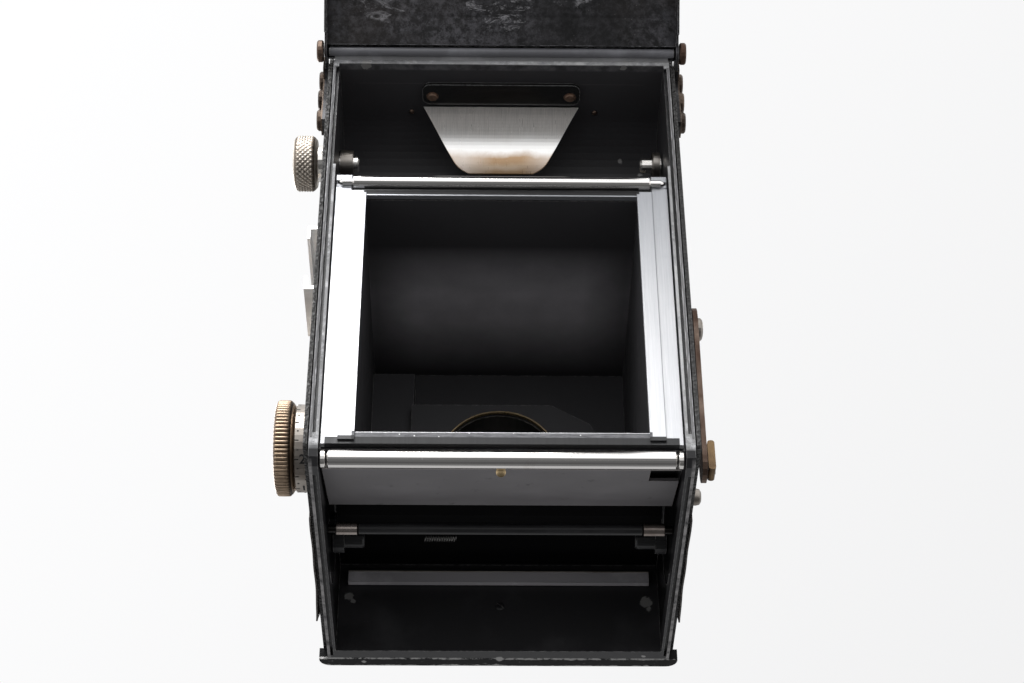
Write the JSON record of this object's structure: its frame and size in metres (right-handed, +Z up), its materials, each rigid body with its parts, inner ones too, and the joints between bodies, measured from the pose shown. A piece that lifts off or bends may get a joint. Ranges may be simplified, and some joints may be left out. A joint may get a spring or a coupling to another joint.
{
  "type": "twin lens reflex camera",
  "caption": "Roll-film camera with a taking lens below a viewing lens, folding hood, winding crank, focusing knob and an L-shaped film door swung open.",
  "frame": {"origin": "middle of the flat underside of the body's lower front lip", "axes": "+Z up, lenses face -Y, film door hinged along +X at the top of the back, focusing knob on +X and crank on -X"},
  "size_m": [0.0911, 0.2242, 0.1942],
  "materials": {
    "black_paint": "semi-gloss black, worn to bare metal along its edges",
    "black_leather": "fine pebble grain",
    "bare_aluminium": "satin, lengthwise polish marks",
    "grey_satin": "satin grey",
    "nickel_plate": "warm nickel plate with light tarnish",
    "worn_bronze": "nickel worn through to bronze on the ridges",
    "lens_brass": "lacquered",
    "brown_steel": "browned steel",
    "mirror_silver": "front-silvered",
    "optical_glass": "polished"
  },
  "bodies": {
    "camera_body": {"body_casting": "black_paint", "left_side_leather": "black_leather", "right_side_leather": "black_leather", "left_hinge_plate": "nickel_plate", "right_hinge_plate": "nickel_plate", "left_side_bracket": "nickel_plate", "door_hinge_barrel": "black_paint", "film_gate": "bare_aluminium", "lower_film_panel": "grey_satin", "lower_roller_left_bearing": "nickel_plate", "lower_roller_right_bearing": "nickel_plate", "takeup_spring_plate": "black_paint", "takeup_leaf_spring": "nickel_plate", "feed_pressure_strip": "nickel_plate", "feed_right_pin": "nickel_plate", "viewing_mirror": "mirror_silver", "ground_glass": "optical_glass", "hood_frame": "black_paint"},
    "film_door": {"door_shell": "black_paint", "door_leather": "black_leather", "exposure_table_plate": "nickel_plate", "left_hinge_stud": "brown_steel", "right_hinge_stud": "brown_steel", "pressure_plate_spring": "nickel_plate", "tripod_bush": "nickel_plate"},
    "door_pressure_plate": {"pressure_plate": "black_paint"},
    "door_catch": {"door_latch": "nickel_plate"},
    "upper_roller": {"upper_film_roller": "nickel_plate"},
    "lower_roller": {"lower_film_roller": "nickel_plate"},
    "feed_guide": {"feed_guide_rod": "black_paint", "feed_guide_left_cap": "nickel_plate", "feed_guide_right_cap": "nickel_plate"},
    "takeup_pull_knob": {"takeup_left_pin": "nickel_plate", "takeup_knob": "worn_bronze"},
    "takeup_drive": {"takeup_drive_pin": "nickel_plate"},
    "feed_sprung_pin": {"feed_left_pin": "nickel_plate"},
    "focusing_knob": {"focus_knob": "worn_bronze", "focus_scale_drum": "nickel_plate"},
    "lens_standard": {"lens_board": "black_paint", "viewing_lens_barrel": "nickel_plate", "viewing_lens": "optical_glass", "shutter_housing": "black_paint", "shutter_blades": "nickel_plate", "taking_lens_barrel": "nickel_plate", "taking_lens": "optical_glass", "rear_lens_ring": "lens_brass", "rear_lens_tube": "black_paint"},
    "aperture_ring": {"aperture_lever": "nickel_plate"},
    "speed_ring": {"speed_lever": "nickel_plate"},
    "shutter_release": {"release_lever": "nickel_plate"},
    "winding_crank": {"crank_hub": "nickel_plate", "crank_arm": "nickel_plate"},
    "folding_handle": {"crank_handle": "lens_brass"},
    "hood_lid_body": {"hood_lid": "black_paint"},
    "hood_left": {"hood_left_flap": "black_paint"},
    "hood_right": {"hood_right_flap": "black_paint"},
    "hood_rear": {"hood_rear_flap": "black_paint"},
    "magnifier": {"magnifier_frame": "nickel_plate", "magnifier_lens": "optical_glass"}
  },
  "joints": [
    {"name": "door_hinge", "type": "hinge", "parent": "camera_body", "child": "film_door", "pos_m": [0, 0.0766, 0.1072], "axis": [1, 0, 0], "range_deg": [-141.5, 0]},
    {"name": "pressure_plate_travel", "type": "slide", "parent": "film_door", "child": "door_pressure_plate", "axis": [0, -0.7826, 0.6225], "range_m": [0, 0.001], "stiffness_N_per_m": 600, "springref_m": -0.0005},
    {"name": "door_latch_turn", "type": "hinge", "parent": "film_door", "child": "door_catch", "pos_m": [0, 0.20032, 0.15126], "axis": [1, 0, 0], "range_deg": [0, 60]},
    {"name": "upper_roller_spin", "type": "hinge", "parent": "camera_body", "child": "upper_roller", "pos_m": [0, 0.0742, 0.0709], "axis": [1, 0, 0], "continuous": true},
    {"name": "lower_roller_spin", "type": "hinge", "parent": "camera_body", "child": "lower_roller", "pos_m": [0, 0.0724, 0.00195], "axis": [1, 0, 0], "continuous": true},
    {"name": "feed_guide_spin", "type": "hinge", "parent": "camera_body", "child": "feed_guide", "pos_m": [0, 0.0442, 0.0049], "axis": [1, 0, 0], "continuous": true},
    {"name": "takeup_knob_pull", "type": "slide", "parent": "camera_body", "child": "takeup_pull_knob", "axis": [1, 0, 0], "range_m": [0, 0.0035], "stiffness_N_per_m": 200, "springref_m": -0.002},
    {"name": "crank_wind", "type": "hinge", "parent": "camera_body", "child": "winding_crank", "pos_m": [0, 0.0458, 0.055], "axis": [1, 0, 0], "range_deg": [0, 330]},
    {"name": "takeup_drive_turn", "type": "hinge", "parent": "camera_body", "child": "takeup_drive", "pos_m": [0, 0.0593, 0.09], "axis": [1, 0, 0], "range_deg": [0, 330]},
    {"name": "crank_handle_fold", "type": "hinge", "parent": "winding_crank", "child": "folding_handle", "pos_m": [-0.04285, 0.0458, 0.018], "axis": [0, -1, 0], "range_deg": [0, 90]},
    {"name": "feed_pin_retract", "type": "slide", "parent": "camera_body", "child": "feed_sprung_pin", "axis": [1, 0, 0], "range_m": [0, 0.0002], "stiffness_N_per_m": 400, "springref_m": -0.001},
    {"name": "focus_turn", "type": "hinge", "parent": "camera_body", "child": "focusing_knob", "pos_m": [0, 0.0292, 0.0352], "axis": [1, 0, 0], "range_deg": [0, 300]},
    {"name": "lens_standard_travel", "type": "slide", "parent": "camera_body", "child": "lens_standard", "axis": [0, -1, 0], "range_m": [0, 0.0075]},
    {"name": "aperture_ring_turn", "type": "hinge", "parent": "lens_standard", "child": "aperture_ring", "pos_m": [0, -0.0102, 0.0372], "axis": [0, 1, 0], "range_deg": [0, 60]},
    {"name": "speed_ring_turn", "type": "hinge", "parent": "lens_standard", "child": "speed_ring", "pos_m": [0, -0.0122, 0.0372], "axis": [0, 1, 0], "range_deg": [-60, 0]},
    {"name": "release_press", "type": "hinge", "parent": "lens_standard", "child": "shutter_release", "pos_m": [0.0264, -0.0036, 0.037], "axis": [0, 1, 0], "range_deg": [0, 12], "stiffness_Nm_per_rad": 0.01, "springref_deg": -17.19},
    {"name": "hood_lid_open", "type": "hinge", "parent": "camera_body", "child": "hood_lid_body", "pos_m": [0, 0.002, 0.122], "axis": [1, 0, 0], "range_deg": [0, 90]},
    {"name": "hood_left_fold", "type": "hinge", "parent": "camera_body", "child": "hood_left", "pos_m": [0.033, 0.0358, 0.1192], "axis": [0, 1, 0], "range_deg": [0, 90]},
    {"name": "hood_right_fold", "type": "hinge", "parent": "camera_body", "child": "hood_right", "pos_m": [-0.033, 0.0358, 0.1192], "axis": [0, -1, 0], "range_deg": [0, 90]},
    {"name": "hood_rear_fold", "type": "hinge", "parent": "camera_body", "child": "hood_rear", "pos_m": [0, 0.0679, 0.1182], "axis": [-1, 0, 0], "range_deg": [0, 90]},
    {"name": "magnifier_level", "type": "hinge", "parent": "hood_lid_body", "child": "magnifier", "pos_m": [0, 0.0278, 0.1205], "axis": [-1, 0, 0], "range_deg": [0, 90]}
  ],
  "couplings": [
    {"joint": "takeup_drive_turn", "follows": "crank_wind", "ratio": 1},
    {"joint": "focus_turn", "follows": "lens_standard_travel", "rad_per_m": 697.43},
    {"joint": "hood_left_fold", "follows": "hood_lid_open", "ratio": 1},
    {"joint": "hood_right_fold", "follows": "hood_lid_open", "ratio": 1},
    {"joint": "hood_rear_fold", "follows": "hood_lid_open", "ratio": 1},
    {"joint": "magnifier_level", "follows": "hood_lid_open", "ratio": 1}
  ]
}
